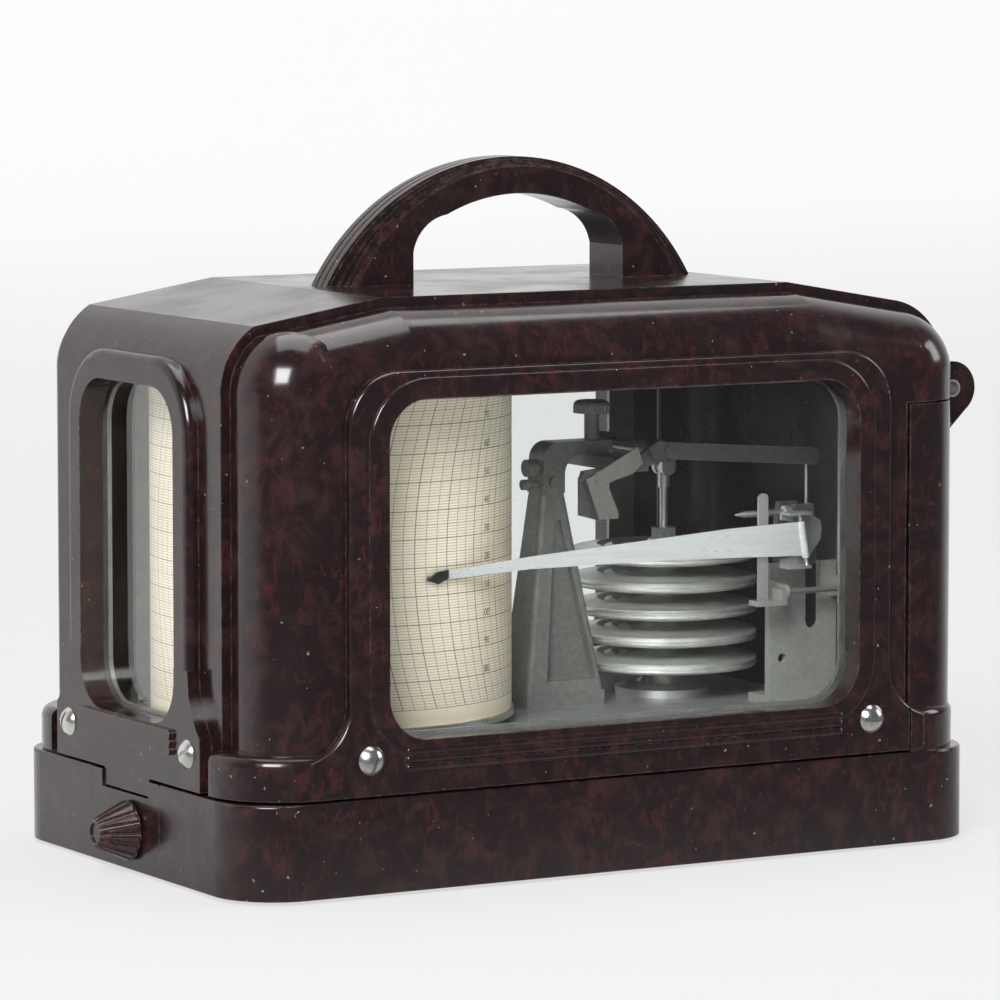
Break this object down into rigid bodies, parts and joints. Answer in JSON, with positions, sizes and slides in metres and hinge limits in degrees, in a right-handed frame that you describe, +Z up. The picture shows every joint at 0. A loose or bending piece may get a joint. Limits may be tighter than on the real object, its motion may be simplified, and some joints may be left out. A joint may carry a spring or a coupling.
{
  "type": "barograph",
  "caption": "Table barograph in a hinged, glazed moulded case: clock drum with chart, pen arm on an inclined gate, rocking levers and a stack of five vacuum capsules.",
  "frame": {"origin": "on the table under the middle of the case", "axes": "+X along the long front towards the hinge, +Y towards the back, +Z up"},
  "size_m": [0.2404, 0.138, 0.1808],
  "materials": {
    "bakelite": "polished",
    "knob_red": "polished",
    "felt": "matt",
    "grey_enamel": "satin",
    "cast_grey": "satin",
    "dark_enamel": "satin",
    "steel": "brushed",
    "nickel": "polished",
    "nickel_silver": "spun",
    "zinc": "satin",
    "aluminium": "satin",
    "brass": "lacquered",
    "paper": "uncoated",
    "glass": "clear"
  },
  "bodies": {
    "cover": {"cover_shell": "bakelite", "carry_handle": "bakelite", "handle_screws": "steel", "front_glass": "glass", "front_retainer": "zinc", "rear_glass": "glass", "rear_retainer": "zinc", "end_glass": "glass", "end_retainer": "zinc", "window_screws": "nickel"},
    "latch": {"latch_knob": "knob_red", "latch_spindle": "steel", "latch_hook": "steel"},
    "drum": {"drum_body": "aluminium", "drum_lid": "aluminium", "drum_nut": "brass", "chart_paper": "paper", "chart_clip": "nickel", "clock_plates": "brass", "mainspring_barrel": "brass", "winding_key": "steel", "clock_wheels": "brass"},
    "pinion": {"drive_pinion": "steel"},
    "zero_screw": {"zero_thumbscrew": "steel"},
    "rocker": {"rocking_shaft": "dark_enamel"},
    "pull": {"pull_rod": "steel"},
    "link": {"link_wire": "steel"},
    "pen_yoke": {"pen_axle": "steel", "gate_pin": "steel"},
    "pen": {"pen_arm": "aluminium", "pen_nib": "dark_enamel"},
    "lifter": {"lifter_bail": "steel"},
    "base": {"base_tray": "bakelite", "base_feet": "felt", "latch_block": "bakelite", "end_standard": "bakelite", "standard_screws": "steel", "hinge_tubes": "steel", "bed_plate": "grey_enamel", "bed_screws": "steel", "column_bracket": "cast_grey", "column_screws": "steel", "fulcrum_frame": "dark_enamel", "compensator_plates": "zinc", "sun_wheel": "brass", "drum_spindle": "steel", "vacuum_capsules": "nickel_silver", "capsule_foot": "steel", "stack_nut": "steel", "pen_bracket": "cast_grey", "axle_cradle": "dark_enamel", "stop_screw": "steel"}
  },
  "joints": [
    {"name": "cover_hinge", "type": "hinge", "parent": "base", "child": "cover", "pos_m": [0.113, 0, 0.1183], "axis": [0, 1, 0], "range_deg": [0, 100]},
    {"name": "latch_turn", "type": "hinge", "parent": "base", "child": "latch", "pos_m": [-0.11, -0.003, 0.0112], "axis": [1, 0, 0], "range_deg": [0, 90]},
    {"name": "drum_spin", "type": "hinge", "parent": "base", "child": "drum", "pos_m": [-0.0496, 0, 0.0372], "axis": [0, 0, 1], "continuous": true},
    {"name": "pinion_spin", "type": "hinge", "parent": "drum", "child": "pinion", "pos_m": [-0.0496, 0.02905, 0.0372], "axis": [0, 0, 1], "continuous": true},
    {"name": "zero_screw_turn", "type": "hinge", "parent": "base", "child": "zero_screw", "pos_m": [0.0254, -0.005, 0.113], "axis": [0, 0, 1], "range_deg": [-360, 360]},
    {"name": "rocker_swing", "type": "hinge", "parent": "base", "child": "rocker", "pos_m": [0.033, 0, 0.1042], "axis": [0, 1, 0], "range_deg": [-2.8, 3.55]},
    {"name": "pull_rod_slide", "type": "slide", "parent": "base", "child": "pull", "axis": [0, 0, 1], "range_m": [-0.00115, 0.0009]},
    {"name": "link_slide", "type": "slide", "parent": "base", "child": "link", "axis": [0, 0, 1], "range_m": [-0.0028, 0.0022]},
    {"name": "pen_swing", "type": "hinge", "parent": "base", "child": "pen_yoke", "pos_m": [0.0705, -0.038, 0.0825], "axis": [0, 1, 0], "range_deg": [-16.5, 21], "stiffness_Nm_per_rad": 0.05},
    {"name": "pen_lift", "type": "hinge", "parent": "base", "child": "lifter", "pos_m": [0.066, -0.0412, 0.0662], "axis": [1, 0, 0], "range_deg": [0, 4.5]},
    {"name": "pen_gate", "type": "hinge", "parent": "pen_yoke", "child": "pen", "pos_m": [0.0665, -0.0467, 0.0739], "axis": [-0.1729, 0, 0.9849], "range_deg": [0, 4.1]}
  ],
  "couplings": [
    {"joint": "pinion_spin", "follows": "drum_spin", "ratio": 5},
    {"joint": "rocker_swing", "follows": "pen_swing", "ratio": 0.16667},
    {"joint": "pull_rod_slide", "follows": "pen_swing", "m_per_rad": -0.003},
    {"joint": "link_slide", "follows": "pen_swing", "m_per_rad": -0.0075},
    {"joint": "pen_gate", "follows": "pen_lift", "ratio": 0.9}
  ]
}
